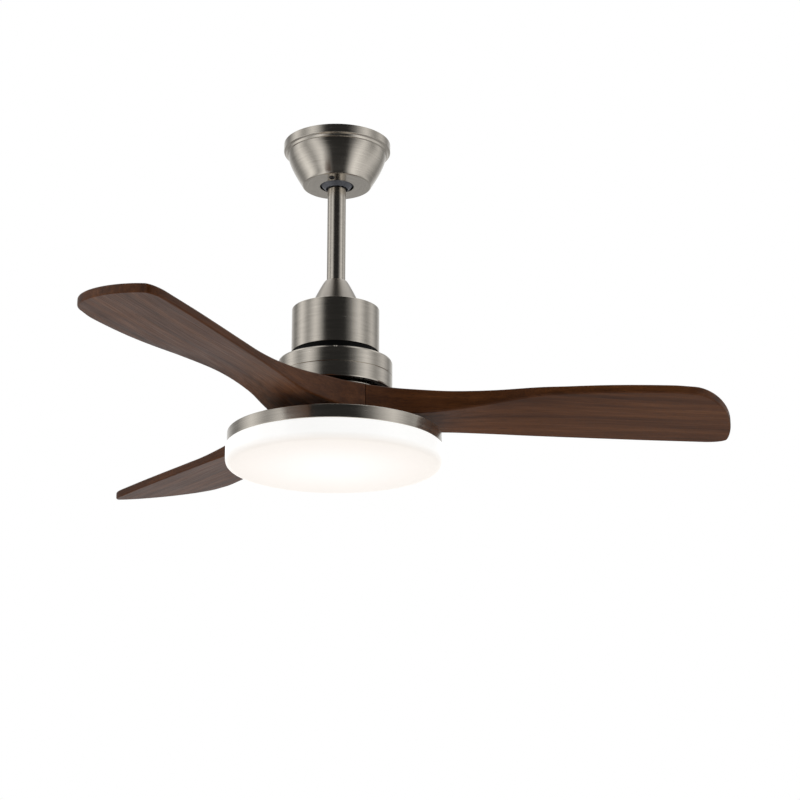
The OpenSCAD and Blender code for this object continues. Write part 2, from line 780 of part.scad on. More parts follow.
// Metal pan with an inward lip that holds the diffuser's tabs, open in three places to let them in
module lamp_pan() {
    edge = 1;
    color(nickel) difference() {
        rotate_extrude() polygon([[clamp_hole_r, pan_top_z], [pan_r - 2 * edge, pan_top_z],
            [pan_r - edge, pan_top_z - 0.3 * edge], [pan_r, pan_top_z - edge], [pan_r, pan_low_z + edge],
            [pan_r - 0.5 * edge, pan_low_z], [pan_r - sheet - lip_in, pan_low_z],
            [pan_r - sheet - lip_in, pan_low_z + lip_t], [pan_r - sheet, pan_low_z + lip_t],
            [pan_r - sheet, pan_top_z - sheet], [clamp_hole_r, pan_top_z - sheet]]);
        ring_of(3, lamp_screw_ring, 30) post(lamp_screw_r + loose, pan_top_z - sheet - 1, pan_top_z + 1);
        ring_of(3, pan_r - sheet - lip_in - 2, 90)
            translate([0, -tab_w / 2 - 1, pan_low_z - 1]) cube([lip_in + 2, tab_w + 2, lip_t + 1.5]);
    }
}

module led_driver() {
    color(white_plastic) translate([-36, 48, pan_top_z - sheet - 8]) cube([72, 34, 8]);
}

module led_standoffs() {
    color(zinc) ring_of(4, led_standoff_ring, 45)
        post(standoff_r, led_board_z, pan_top_z - sheet);
}

module led_board() {
    color(white_plastic) tube(led_board_r, 10, led_board_z - led_board_t, led_board_z);
}

// Three rings of surface-mounted LEDs on the board's lower face
module led_chips() {
    chip = 3;
    chip_t = 0.8;
    color([1, 0.93, 0.6]) for (ring = [[8, 30], [16, 65], [24, 100]])
        ring_of(ring[0], ring[1])
            translate([-chip / 2, -chip / 2, led_board_z - led_board_t - chip_t]) cube([chip, chip, chip_t]);
}

// White diffuser dish: rounded foot, flat face, and a collar with three tabs inside the pan
module diffuser() {
    collar_r = pan_r - sheet - lip_in - 0.4;
    collar_top = pan_low_z + lip_t + 0.4 + tab_h;
    inner_corner_r = diffuser_corner_r - diffuser_wall;
    corner = [diffuser_r - diffuser_corner_r, lamp_low_z + diffuser_corner_r];
    steps = 8;
    color(white_plastic) {
        rotate_extrude() polygon(concat(
            [[0, lamp_low_z]],
            [for (i = [0:steps]) corner + diffuser_corner_r * [sin(90 * i / steps), -cos(90 * i / steps)]],
            [[diffuser_r, pan_low_z - 0.9], [diffuser_r - 0.6, pan_low_z - 0.3],
                [collar_r, pan_low_z - 0.3], [collar_r, collar_top],
                [collar_r - diffuser_wall, collar_top]],
            [for (i = [steps:-1:0]) corner + [-2.2, 0]
                + inner_corner_r * [sin(90 * i / steps), -cos(90 * i / steps)]],
            [[0, lamp_low_z + diffuser_wall]]));
        intersection() {
            tube(pan_r - sheet - 0.4, collar_r - 1, collar_top - tab_h, collar_top);
            ring_of(3, collar_r, 60) translate([-4, -tab_w / 2, pan_low_z]) cube([8, tab_w, 8]);
        }
    }
}

ceiling_bracket();
ball_socket();
canopy();
canopy_screws();
receiver_box();
terminal_block();
ball_liner();
hanger_ball();
ball_pin();
ball_set_screw();
downrod();
coupling_cover();
motor_yoke();
yoke_pin();
yoke_pin_clip();
yoke_set_screws();
housing_shell();
housing_screws();
housing_base();
driver_standoffs();
driver_board();
driver_components();
motor_shaft();
shaft_lock_nut();
bearing_inner_races();
stator_core();
stator_windings();
light_bracket();
shaft_end_nut();
light_bracket_screws();
lamp_pan();
led_driver();
led_standoffs();
led_board();
led_chips();
rotor_upper_bell();
rotor_lower_bell();
bell_screws();
rotor_magnets();
bearing_outer_races();
bearing_balls();
hub_plate();
hub_screws();
blade_gasket();
blade_1();
blade_2();
blade_3();
clamp_plate();
blade_screws();
diffuser();
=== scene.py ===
"""Looks of a ceiling fan with a round LED lamp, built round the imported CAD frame.

Metres, +Z up, the fan's axis is the Z axis and the ceiling is at z = 0. Profiles and outlines are
written in millimetres and scaled once. The visible round parts are turned from filleted profiles,
the blades are carved from the same edge curves as the CAD blades, and the other pieces keep their
CAD meshes with a procedural material each. The motor bells and clamp plate get a fine bevel too.
"""
import json
import math

import bmesh
import bpy
from mathutils import Matrix, Vector


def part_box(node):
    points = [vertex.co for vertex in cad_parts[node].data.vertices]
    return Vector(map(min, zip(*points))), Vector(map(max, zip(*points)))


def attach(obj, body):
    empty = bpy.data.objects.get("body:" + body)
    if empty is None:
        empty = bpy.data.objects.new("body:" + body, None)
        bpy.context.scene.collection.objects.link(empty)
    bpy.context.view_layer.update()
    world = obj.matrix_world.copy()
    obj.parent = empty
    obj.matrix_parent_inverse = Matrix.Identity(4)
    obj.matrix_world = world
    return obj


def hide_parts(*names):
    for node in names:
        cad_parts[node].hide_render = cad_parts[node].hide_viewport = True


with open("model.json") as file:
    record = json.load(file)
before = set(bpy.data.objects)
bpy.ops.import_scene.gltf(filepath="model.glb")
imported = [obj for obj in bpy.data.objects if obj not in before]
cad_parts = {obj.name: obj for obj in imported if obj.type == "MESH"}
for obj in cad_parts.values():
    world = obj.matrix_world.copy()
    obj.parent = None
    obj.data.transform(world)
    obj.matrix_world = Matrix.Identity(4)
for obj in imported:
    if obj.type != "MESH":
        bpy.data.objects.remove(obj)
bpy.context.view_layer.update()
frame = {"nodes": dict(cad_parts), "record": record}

MM = 0.001
SEGMENTS = 192
ARC_STEP = math.radians(14)
SMOOTH_UNDER = math.radians(32)


# ---------- shader helper ----------

class Nodes:
    """Short calls that add nodes to one node tree."""

    def __init__(self, tree):
        self.tree = tree

    def node(self, kind, inputs=None, **settings):
        made = self.tree.nodes.new("ShaderNode" + kind)
        for key, value in settings.items():
            setattr(made, key, value)
        for key, value in (inputs or {}).items():
            self.feed(made.inputs[key], value)
        return made

    def feed(self, socket, value):
        if isinstance(value, bpy.types.NodeSocket):
            self.tree.links.new(value, socket)
        else:
            socket.default_value = value

    def math(self, operation, a, b=0.0):
        return self.node("Math", {0: a, 1: b}, operation=operation).outputs[0]

    def position(self):
        """The object's own coordinates in metres, as (vector, x, y, z)."""
        place = self.node("TexCoord").outputs["Object"]
        parts = self.node("SeparateXYZ", {0: place}).outputs
        return place, parts[0], parts[1], parts[2]

    def vector(self, x, y, z):
        return self.node("CombineXYZ", {0: x, 1: y, 2: z}).outputs[0]

    def stretched(self, vector, *scales):
        """A vector scaled by a factor for each axis."""
        return self.node("VectorMath", {0: vector, 1: scales}, operation="MULTIPLY").outputs[0]

    def distance(self, x, y):
        """How far (x, y) is from the axis."""
        return self.math("SQRT", self.math("ADD", self.math("POWER", x, 2.0), self.math("POWER", y, 2.0)))

    def noise(self, vector, scale=1.0, detail=3.0, distortion=0.0):
        return self.node("TexNoise", {"Vector": vector, "Scale": scale, "Detail": detail,
                                      "Distortion": distortion}).outputs["Fac"]

    def ramp(self, factor, *stops):
        made = self.node("ValToRGB", {"Fac": factor})
        fill_ramp(made.color_ramp, stops)
        return made.outputs["Color"]

    def spread(self, value, start, end, low=0.0, high=1.0):
        """A value that goes from start to end, spread from low to high and held beyond them."""
        made = self.node("MapRange", {"Value": value, "From Min": start, "From Max": end,
                                      "To Min": low, "To Max": high})
        return made.outputs["Result"]

    def remap(self, value, low, high):
        """A value from 0.3 to 0.7, as most noise is, spread from low to high."""
        return self.spread(value, 0.3, 0.7, low, high)

    def mix(self, factor, a, b, blend="MIX"):
        made = self.node("Mix", data_type="RGBA", blend_type=blend)
        self.feed(made.inputs["Factor"], factor)
        self.feed(made.inputs["A"], a)
        self.feed(made.inputs["B"], b)
        return made.outputs["Result"]


class Shader(Nodes):
    """One node material with a Principled shader."""

    def __init__(self, name, roughness, metallic=0.0, **constants):
        self.material = bpy.data.materials.new(name)
        self.material.use_nodes = True
        super().__init__(self.material.node_tree)
        self.out = self.tree.nodes["Principled BSDF"]
        self.out.inputs["Roughness"].default_value = roughness
        self.out.inputs["Metallic"].default_value = metallic
        for socket, value in constants.items():
            self.out.inputs[socket.replace("_", " ")].default_value = value

    def set(self, name, value):
        self.feed(self.out.inputs[name], value)

    def bump(self, height, strength, distance):
        made = self.node("Bump", {"Height": height, "Strength": strength, "Distance": distance})
        self.set("Normal", made.outputs["Normal"])


def fill_ramp(ramp, stops):
    """Puts (position, grey or colour) stops into a colour ramp."""
    while len(ramp.elements) < len(stops):
        ramp.elements.new(1.0)
    for element, (position, value) in zip(ramp.elements, stops):
        colour = (value,) * 3 if isinstance(value, (int, float)) else value
        element.position = position
        element.color = (*colour, 1.0)


def tint(colour, factor):
    return tuple(min(1.0, channel * factor) for channel in colour)


# ---------- materials ----------

def lathe_lines(shader, turn, pitch):
    """Noise drawn out round the axis: turn sets how soon a line ends, pitch how close lines are."""
    x, y, z = shader.position()[1:]
    radius = shader.distance(x, y)
    safe = shader.math("MAXIMUM", radius, 1e-4)
    run = shader.math("ADD", z, shader.math("MULTIPLY", radius, 1.31))
    vector = shader.vector(
        shader.math("MULTIPLY", shader.math("DIVIDE", x, safe), turn),
        shader.math("MULTIPLY", shader.math("DIVIDE", y, safe), turn),
        shader.math("MULTIPLY", run, pitch))
    return shader.noise(vector, detail=4.0)


def brushed_nickel(name, roughness, contrast, colour=(0.555, 0.515, 0.455), face=1.0):
    """Nickel brushed on a lathe: streaks run round the axis, and the gloss is drawn out across them.

    If face is under 1, level faces get painted shade: a plain colour at face times the brightness of the
    sides.
    """
    shader = Shader(name, roughness, 1.0, Anisotropic=0.6, Anisotropic_Rotation=0.25)
    coarse = lathe_lines(shader, 1.6, 420.0)
    fine = lathe_lines(shader, 3.0, 2200.0)
    lines = shader.math("ADD", shader.math("MULTIPLY", coarse, 0.55), shader.math("MULTIPLY", fine, 0.45))
    brushed = shader.ramp(lines, (0.35, tint(colour, 1 - contrast)), (0.65, tint(colour, 1 + contrast)))
    # Painted shade: faces that lie level, top and underside, are mixed towards a dark plain colour.
    if face < 1:
        normal = shader.node("SeparateXYZ", {0: shader.node("TexCoord").outputs["Normal"]}).outputs["Z"]
        level = shader.spread(shader.math("ABSOLUTE", normal), 0.75, 0.97)
        brushed = shader.mix(level, brushed, (*tint(colour, face), 1.0))
    shader.set("Base Color", brushed)
    shader.set("Roughness", shader.remap(lines, roughness - 0.05, roughness + 0.06))
    shader.bump(fine, 0.12, 0.0001)
    tangent = shader.node("Tangent", direction_type="RADIAL", axis="Z")
    shader.set("Tangent", tangent.outputs["Tangent"])
    return shader.material


def zinc_plate(name, colour=(0.62, 0.63, 0.65)):
    """Zinc plating: faint spangle, small stains and a satin gloss."""
    shader = Shader(name, 0.34, 1.0)
    place = shader.position()[0]
    spangle = shader.node("TexVoronoi", {"Vector": place, "Scale": 420.0}).outputs["Color"]
    grey = shader.node("RGBToBW", {"Color": spangle}).outputs[0]
    cloud = shader.noise(place, 60.0, 5.0)
    crystals = shader.ramp(grey, (0.0, tint(colour, 0.86)), (1.0, tint(colour, 1.05)))
    stained = shader.mix(shader.remap(cloud, 0.0, 0.5), crystals, (*tint(colour, 0.75), 1.0))
    shader.set("Base Color", stained)
    shader.set("Roughness", shader.remap(cloud, 0.27, 0.42))
    shader.bump(cloud, 0.08, 0.0002)
    return shader.material


def ground_steel(name):
    """Bearing steel with fine grinding lines round the axis."""
    shader = Shader(name, 0.15, 1.0)
    lines = lathe_lines(shader, 4.0, 5200.0)
    shader.set("Base Color", shader.ramp(lines, (0.3, (0.60, 0.60, 0.61)), (0.7, (0.78, 0.78, 0.79))))
    shader.set("Roughness", shader.remap(lines, 0.10, 0.24))
    shader.bump(lines, 0.05, 0.0001)
    return shader.material


def black_oxide(name):
    """Blackened steel with a little bare metal showing through."""
    shader = Shader(name, 0.42, 0.85)
    place = shader.position()[0]
    worn = shader.noise(place, 260.0, 6.0)
    shader.set("Base Color", shader.ramp(worn, (0.45, (0.035, 0.035, 0.038)), (0.75, (0.11, 0.105, 0.10))))
    shader.set("Roughness", shader.remap(worn, 0.36, 0.55))
    shader.bump(worn, 0.15, 0.0002)
    return shader.material


def laminations(name):
    """Stacked electrical steel: a dark line every half millimetre of height."""
    shader = Shader(name, 0.45, 0.9)
    z = shader.position()[3]
    layer = shader.math("FRACT", shader.math("MULTIPLY", z, 2000.0))
    edge = shader.math("LESS_THAN", layer, 0.22)
    rust = shader.noise(shader.position()[0], 90.0, 5.0)
    steel = shader.ramp(rust, (0.35, (0.26, 0.26, 0.28)), (0.75, (0.33, 0.30, 0.27)))
    shader.set("Base Color", shader.mix(edge, steel, (0.07, 0.07, 0.08, 1.0)))
    shader.bump(shader.math("MULTIPLY", edge, -1.0), 0.3, 0.0001)
    return shader.material


def sintered_magnet(name):
    """Dull plated magnet with a sandy grain."""
    shader = Shader(name, 0.5, 0.7)
    grain = shader.noise(shader.position()[0], 900.0, 3.0)
    shader.set("Base Color", shader.ramp(grain, (0.3, (0.10, 0.10, 0.11)), (0.7, (0.22, 0.22, 0.23))))
    shader.bump(grain, 0.25, 0.0001)
    return shader.material


def powder_coat(name):
    """Blue-grey powder coat with orange-peel texture."""
    shader = Shader(name, 0.42, 0.1)
    place = shader.position()[0]
    peel = shader.noise(place, 700.0, 2.0)
    dust = shader.noise(place, 45.0, 4.0)
    shader.set("Base Color", shader.ramp(dust, (0.3, (0.10, 0.107, 0.125)), (0.7, (0.15, 0.158, 0.18))))
    shader.bump(peel, 0.3, 0.0002)
    return shader.material


def copper_winding(name):
    """Enamelled wire laid side by side, with amber lacquer."""
    shader = Shader(name, 0.28, 0.9, Coat_Weight=0.4)
    z = shader.position()[3]
    turn = shader.math("SINE", shader.math("MULTIPLY", z, 9000.0))
    lacquer = shader.noise(shader.position()[0], 150.0, 3.0)
    shader.set("Base Color", shader.ramp(lacquer, (0.3, (0.42, 0.16, 0.06)), (0.7, (0.68, 0.30, 0.13))))
    shader.bump(turn, 0.6, 0.0003)
    return shader.material


def moulded_plastic(name, colour, roughness, shine=0.5):
    """Injection-moulded plastic with a fine spark-eroded grain."""
    shader = Shader(name, roughness, Specular_IOR_Level=shine)
    place = shader.position()[0]
    grain = shader.noise(place, 1400.0, 2.0)
    flow = shader.noise(place, 35.0, 3.0)
    shader.set("Base Color", shader.ramp(flow, (0.3, tint(colour, 0.9)), (0.7, tint(colour, 1.06))))
    shader.set("Roughness", shader.remap(grain, roughness - 0.05, roughness + 0.1))
    shader.bump(grain, 0.2, 0.0001)
    return shader.material


def circuit_board(name, mask, track):
    """Solder mask over a grid of tracks."""
    shader = Shader(name, 0.35, Coat_Weight=0.3)
    place = shader.position()[0]
    black, white = (0, 0, 0, 1), (1, 1, 1, 1)
    bricks = shader.node("TexBrick", {"Vector": place, "Scale": 130.0, "Mortar Size": 0.035, "Color1": black,
                                      "Color2": black, "Mortar": white}).outputs["Color"]
    weave = shader.noise(place, 1800.0, 2.0)
    tracks = shader.mix(bricks, (*mask, 1.0), (*track, 1.0))
    shader.set("Base Color", shader.mix(shader.remap(weave, 0.0, 0.25), tracks, (*tint(mask, 0.7), 1.0)))
    shader.bump(shader.node("RGBToBW", {"Color": bricks}).outputs[0], 0.3, 0.0001)
    return shader.material


def rubber_sheet(name):
    """Black rubber with talc left in its pores."""
    shader = Shader(name, 0.75)
    talc = shader.noise(shader.position()[0], 500.0, 5.0)
    shader.set("Base Color", shader.ramp(talc, (0.45, (0.018, 0.018, 0.018)), (0.85, (0.09, 0.09, 0.09))))
    shader.bump(talc, 0.3, 0.0002)
    return shader.material


def led_phosphor(name):
    """Lit LED: a yellow phosphor window with a slightly uneven glow."""
    shader = Shader(name, 0.4, Emission_Strength=6.0)
    glow = shader.noise(shader.position()[0], 1500.0, 2.0)
    shader.set("Base Color", shader.ramp(glow, (0.3, (0.85, 0.65, 0.25)), (0.7, (0.95, 0.85, 0.55))))
    shader.set("Emission Color", shader.ramp(glow, (0.3, (1.0, 0.86, 0.66)), (0.7, (1.0, 0.95, 0.84))))
    return shader.material


def opal_acrylic(name, flat_z, wall_r):
    """Lit opal acrylic: white at the wall and the middle, a little warmer across the flat face."""
    shader = Shader(name, 0.28, Emission_Strength=0.84)
    place, x, y, z = shader.position()
    radius = shader.distance(x, y)
    haze = shader.noise(place, 14.0, 2.0)
    spread = shader.math("ADD", shader.math("DIVIDE", radius, wall_r),
                         shader.math("MULTIPLY", shader.math("SUBTRACT", haze, 0.5), 0.10))
    face = shader.ramp(spread, (0.0, (0.97, 0.96, 0.94)), (0.35, (0.93, 0.90, 0.87)),
                       (0.72, (0.88, 0.825, 0.775)), (0.93, (0.85, 0.795, 0.740)), (1.0, (0.86, 0.81, 0.76)))
    round_edge = 0.009
    height = shader.spread(z, flat_z, flat_z + round_edge)
    shader.set("Emission Color", shader.mix(height, face, (1.0, 1.0, 0.99, 1.0)))
    shader.set("Base Color", shader.ramp(haze, (0.3, (0.28, 0.27, 0.26)), (0.7, (0.32, 0.31, 0.30))))
    shader.bump(shader.noise(place, 900.0, 2.0), 0.05, 0.0001)
    return shader.material


def walnut(name):
    """Dark walnut under satin lacquer, with the grain along the blade by the blade_place its mesh keeps."""
    shader = Shader(name, 0.42, Coat_Weight=0.04, Coat_Roughness=0.3, Specular_IOR_Level=0.15)
    place = shader.node("Attribute", attribute_name="blade_place").outputs["Vector"]
    x, y, z = shader.node("SeparateXYZ", {0: place}).outputs
    warp = shader.noise(shader.stretched(place, 2.2, 7.0, 7.0), 1.0, 3.0)
    wander = shader.math("MULTIPLY", shader.math("SUBTRACT", warp, 0.5), 0.035)
    bent = shader.vector(x, shader.math("ADD", y, wander), z)
    figure = shader.noise(shader.stretched(bent, 3.0, 95.0, 95.0), 1.0, 5.0)
    fibre = shader.noise(shader.stretched(bent, 14.0, 700.0, 700.0), 1.0, 3.0)
    pores = shader.noise(shader.stretched(bent, 60.0, 1500.0, 1500.0), 1.0, 1.0)
    body = shader.ramp(figure, (0.28, (0.072, 0.0230, 0.0060)), (0.46, (0.125, 0.0410, 0.0110)),
                       (0.60, (0.170, 0.0590, 0.0170)), (0.76, (0.235, 0.0900, 0.0300)))
    streaked = shader.mix(shader.remap(fibre, 0.0, 0.45), body, (0.040, 0.0130, 0.0045, 1.0))
    pore = shader.ramp(pores, (0.60, 0.0), (0.70, 1.0))
    pitted = shader.mix(shader.math("MULTIPLY", pore, 0.55), streaked, (0.018, 0.007, 0.004, 1.0))
    shader.set("Base Color", pitted)
    shader.set("Roughness", shader.remap(fibre, 0.36, 0.52))
    height = shader.math("SUBTRACT", fibre, shader.math("MULTIPLY", pore, 0.6))
    shader.bump(height, 0.22, 0.0003)
    return shader.material


# ---------- shapes ----------

def fillet(points):
    """Rounds the corners of (r, z, corner radius) points in millimetres, and returns (r, z) in metres."""
    rounded = []
    count = len(points)
    for i, (r, z, size) in enumerate(points):
        here = Vector((r, z))
        before = Vector(points[i - 1][:2]) - here
        after = Vector(points[(i + 1) % count][:2]) - here
        if size == 0:
            rounded.append(here * MM)
            continue
        half = before.angle(after) / 2
        reach = min(size / math.tan(half), 0.45 * before.length, 0.45 * after.length)
        start = here + before.normalized() * reach
        end = here + after.normalized() * reach
        steps = max(3, math.ceil((math.pi - 2 * half) / ARC_STEP))
        for step in range(steps + 1):
            t = step / steps
            bend = start.lerp(here, t).lerp(here.lerp(end, t), t)
            rounded.append(bend * MM)
    return rounded


def finish_mesh(name, mesh_builder, material):
    """Turns a bmesh into an object with outward faces, smooth shading and even normals."""
    bmesh.ops.remove_doubles(mesh_builder, verts=mesh_builder.verts, dist=1e-7)
    bmesh.ops.recalc_face_normals(mesh_builder, faces=mesh_builder.faces)
    mesh = bpy.data.meshes.new(name)
    mesh_builder.to_mesh(mesh)
    mesh_builder.free()
    mesh.materials.append(material)
    mesh.shade_smooth()
    mesh.set_sharp_from_angle(angle=SMOOTH_UNDER)
    piece = bpy.data.objects.new(name, mesh)
    bpy.context.scene.collection.objects.link(piece)
    even_normals(piece)
    return piece


def even_normals(piece):
    piece.modifiers.new("even_normals", "WEIGHTED_NORMAL").keep_sharp = True


def add_lathe(builder, profile, closed=True, segments=SEGMENTS):
    """Adds a solid of revolution to a bmesh. A profile that isn't closed starts and ends on the axis."""
    rings = []
    for r, z in profile:
        if r < 1e-6:
            rings.append([builder.verts.new((0, 0, z))])
        else:
            rings.append([builder.verts.new((r * math.cos(a), r * math.sin(a), z))
                          for a in (2 * math.pi * k / segments for k in range(segments))])
    pairs = list(zip(rings, rings[1:] + rings[:1])) if closed else list(zip(rings, rings[1:]))
    for lower, upper in pairs:
        for k in range(segments):
            nxt = (k + 1) % segments
            quad = [ring[i % len(ring)] for ring, i in ((lower, k), (lower, nxt), (upper, nxt), (upper, k))]
            corners = list(dict.fromkeys(quad))
            if len(corners) > 2:
                builder.faces.new(corners)


def turned(name, points, material, body, replaces, closed=True):
    """A turned piece from filleted points in millimetres that stands for one CAD node."""
    builder = bmesh.new()
    add_lathe(builder, fillet(points), closed)
    place_piece(finish_mesh(name, builder, material), body, replaces)


def place_piece(piece, body, replaces):
    """Says which body a piece rides on and which CAD node it stands for."""
    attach(piece, body)
    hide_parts(replaces)


def outer_radius(node):
    """Radius in millimetres of a round CAD node about the fan's axis."""
    return round(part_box(node)[1].x / MM, 2)


def heights(node):
    """Lowest and highest height of a CAD node, in millimetres."""
    return [corner.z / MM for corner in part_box(node)]


def smooth_step(x, a, b):
    t = min(1.0, max(0.0, (x - a) / (b - a)))
    return t * t * (3 - 2 * t)


def curve_at(points, x):
    """Smooth curve through (x, y) points that rise in x, carried on straight before the first."""
    def slope(i):
        a, b = max(i - 1, 0), min(i + 1, len(points) - 1)
        return (points[b][1] - points[a][1]) / (points[b][0] - points[a][0])
    if x < points[0][0]:
        return points[0][1] + slope(0) * (x - points[0][0])
    i = 0
    while i < len(points) - 2 and x >= points[i + 1][0]:
        i += 1
    width = points[i + 1][0] - points[i][0]
    t = (x - points[i][0]) / width
    return ((1 + 2 * t) * (1 - t) ** 2 * points[i][1] + t * (1 - t) ** 2 * width * slope(i)
            + t * t * (3 - 2 * t) * points[i + 1][1] - t * t * (1 - t) * width * slope(i + 1))


# ---------- blades ----------

# Millimetres from the fan's axis, or from the blade's centre line, and degrees
TIP_R = 536.0
ROOT_T = 35.0
TIP_T = 11.0
BLADE_RISE = 23.9
FIRST_BLADE_ANGLE = 5.2
SEAM_ANGLES = (-64.0, 56.0)
SEAM_GAP = 0.40
BORE = 14.0
TILT_SPAN = (57.0, 285.0)
THIN_SPAN = (50.0, 298.0)
LEAD_EDGE = [(28, -70), (70, -59), (105, -55), (150, -53), (205, -62.5), (270, -86), (350, -105.5),
             (430, -114), (459, -111.5)]
TRAIL_EDGE = [(46, 61), (70, 46.5), (105, 36), (150, 28), (205, 28), (270, 30.5), (350, 31.5),
              (430, 32), (506, 31)]
# Where a tip corner starts, the width it ends at, and for the leading one how full its curve is
LEAD_CORNER = (LEAD_EDGE[-1][0], 10.0, 1.62)
TRAIL_CORNER = (TRAIL_EDGE[-1][0], 20.0)
EDGE_ROUND = 2.6
# Rings of the mesh: evenly spaced, then closer and closer to the tip
FIRST_RING = 4.0
RING_STEP = 4.5
STRAIGHT_RINGS = 96
TIP_RINGS = 34
BLADE_LOW = heights("blade_1")[0]


def lead_y(x):
    """The leading edge: its curve, then a full round corner."""
    start, middle, power = LEAD_CORNER
    if x <= start:
        return curve_at(LEAD_EDGE, x)
    t = min(1.0, (x - start) / (TIP_R - start))
    return middle + (LEAD_EDGE[-1][1] - middle) * (1 - t ** power) ** (1 / power)


def trail_y(x):
    """The trailing edge: its curve, then a quarter of an ellipse."""
    start, middle = TRAIL_CORNER
    if x <= start:
        return curve_at(TRAIL_EDGE, x)
    t = min(1.0, (x - start) / (TIP_R - start))
    return middle + (TRAIL_EDGE[-1][1] - middle) * math.sqrt(1 - t * t)


def blade_low_z(x, y):
    """Height of the underside, which rises to the leading edge further out."""
    a = curve_at(TRAIL_EDGE, min(x, TRAIL_CORNER[0]))
    b = curve_at(LEAD_EDGE, min(x, LEAD_CORNER[0]))
    return BLADE_LOW + BLADE_RISE * smooth_step(x, *TILT_SPAN) * (a - y) / (a - b)


def blade_section(x, across=26, round_steps=5):
    """Closed cross-section at x in metres: underside, leading edge, top and trailing edge."""
    a, b = trail_y(x), lead_y(x)
    thick = ROOT_T + (TIP_T - ROOT_T) * smooth_step(x, *THIN_SPAN)
    edge = min(EDGE_ROUND, 0.3 * (a - b), 0.45 * thick)
    turns = [math.pi / 2 * k / round_steps for k in range(round_steps + 1)]
    arc = [(edge * math.sin(turn), edge * math.cos(turn)) for turn in turns]
    shares = [k / across for k in range(across + 1)]
    flat = a - b - 2 * edge
    outline = [(a - edge - flat * share, 0) for share in shares]
    outline += [(b + edge - side, edge - up) for side, up in arc[1:]]
    outline += [(b + edge - side, thick - edge + up) for up, side in arc[:-1]]
    outline += [(b + edge + flat * share, thick) for share in shares]
    outline += [(a - edge + side, thick - edge + up) for side, up in arc[1:]]
    outline += [(a - edge + side, edge - up) for up, side in arc[:-1]]
    return [Vector((x, y, blade_low_z(x, y) + height)) * MM for y, height in outline]


def cut_away(builder, point, normal):
    """Cuts the solid with a plane, drops the side that the normal points to, and closes the cut."""
    geometry = builder.verts[:] + builder.edges[:] + builder.faces[:]
    cut = bmesh.ops.bisect_plane(builder, geom=geometry, plane_co=point, plane_no=normal, clear_outer=True)
    rim = [item for item in cut["geom_cut"] if isinstance(item, bmesh.types.BMEdge)]
    filled = bmesh.ops.edgenet_fill(builder, edges=rim)
    bmesh.ops.triangulate(builder, faces=filled["faces"])


def blade_mesh():
    """One blade in its own frame: a swept body cut by the two seam planes and clear of the shaft."""
    builder = bmesh.new()
    straight = [FIRST_RING + RING_STEP * k for k in range(STRAIGHT_RINGS)]
    tip_l = TIP_R - straight[-1]
    ending = [straight[-1] + tip_l * math.sin(math.pi / 2 * k / TIP_RINGS) for k in range(1, TIP_RINGS + 1)]
    rings = [[builder.verts.new(p) for p in blade_section(x)] for x in straight + ending]
    for lower, upper in zip(rings, rings[1:]):
        for k in range(len(lower)):
            nxt = (k + 1) % len(lower)
            builder.faces.new([lower[k], lower[nxt], upper[nxt], upper[k]])
    builder.faces.new(rings[0][::-1])
    tip = builder.faces.new(rings[-1])
    bmesh.ops.triangulate(builder, faces=[tip])
    for side, angle in zip((1, -1), SEAM_ANGLES):
        turn = math.radians(angle)
        outward = Vector((side * math.sin(turn), -side * math.cos(turn), 0))
        cut_away(builder, -outward * SEAM_GAP * MM, outward)
    middle = math.radians(sum(SEAM_ANGLES) / 2)
    inward = Vector((-math.cos(middle), -math.sin(middle), 0))
    cut_away(builder, -inward * BORE * MM, inward)
    return builder


def make_blades(material):
    """Three equal blades. Each mesh is turned into place and keeps its unturned points for the grain."""
    first = finish_mesh("blade_1_carved", blade_mesh(), material)
    unturned = first.data.attributes.new("blade_place", "FLOAT_VECTOR", "POINT")
    unturned.data.foreach_set("vector", [part for vertex in first.data.vertices for part in vertex.co])
    blades = [first]
    for number in (2, 3):
        copy = bpy.data.objects.new(f"blade_{number}_carved", first.data.copy())
        bpy.context.scene.collection.objects.link(copy)
        even_normals(copy)
        blades.append(copy)
    for k, blade in enumerate(blades):
        blade.data.transform(Matrix.Rotation(math.radians(FIRST_BLADE_ANGLE + 120 * k), 4, "Z"))
        place_piece(blade, "rotor", f"blade_{k + 1}")


# ---------- screws ----------

def pan_screw(x, y, face_z, head_r, head_h, shank_r, shank_l):
    """A screw that points up, with a domed head and a round socket in it. Millimetres."""
    socket_r, socket_h = 0.42 * head_r, 0.6 * head_h
    low = face_z - head_h
    profile = [(0, low + socket_h, 0), (socket_r, low + socket_h, 0.15), (socket_r, low + 0.1, 0.25),
               (head_r * 0.8, low + 0.2, 1.0), (head_r, face_z - 0.2, 0.5), (head_r, face_z, 0.1),
               (shank_r, face_z, 0.1), (shank_r, face_z + shank_l, 0.5), (0, face_z + shank_l, 0)]
    builder = bmesh.new()
    add_lathe(builder, fillet(profile), closed=False, segments=48)
    bmesh.ops.translate(builder, verts=builder.verts, vec=Vector((x, y, 0)) * MM)
    return builder


def screws(name, spots, sizes, material):
    """One piece made of equal screws at (x, y) spots."""
    joined = bmesh.new()
    for x, y in spots:
        one = pan_screw(x, y, **sizes)
        scratch = bpy.data.meshes.new("scratch")
        one.to_mesh(scratch)
        one.free()
        joined.from_mesh(scratch)
        bpy.data.meshes.remove(scratch)
    return finish_mesh(name, joined, material)


# ---------- make the pieces ----------

nickel = brushed_nickel("brushed_nickel", 0.22, 0.10)
satin = brushed_nickel("satin_nickel", 0.36, 0.05, colour=(0.465, 0.432, 0.385))
# The motor bells get painted shade on their level faces, at 0.16 of the side brightness.
cast = brushed_nickel("brushed_nickel_motor_shaded_faces", 0.22, 0.10, face=0.16)
walnut_wood = walnut("walnut_lacquered")
lamp_low, lamp_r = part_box("diffuser")[0].z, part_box("diffuser")[1].x

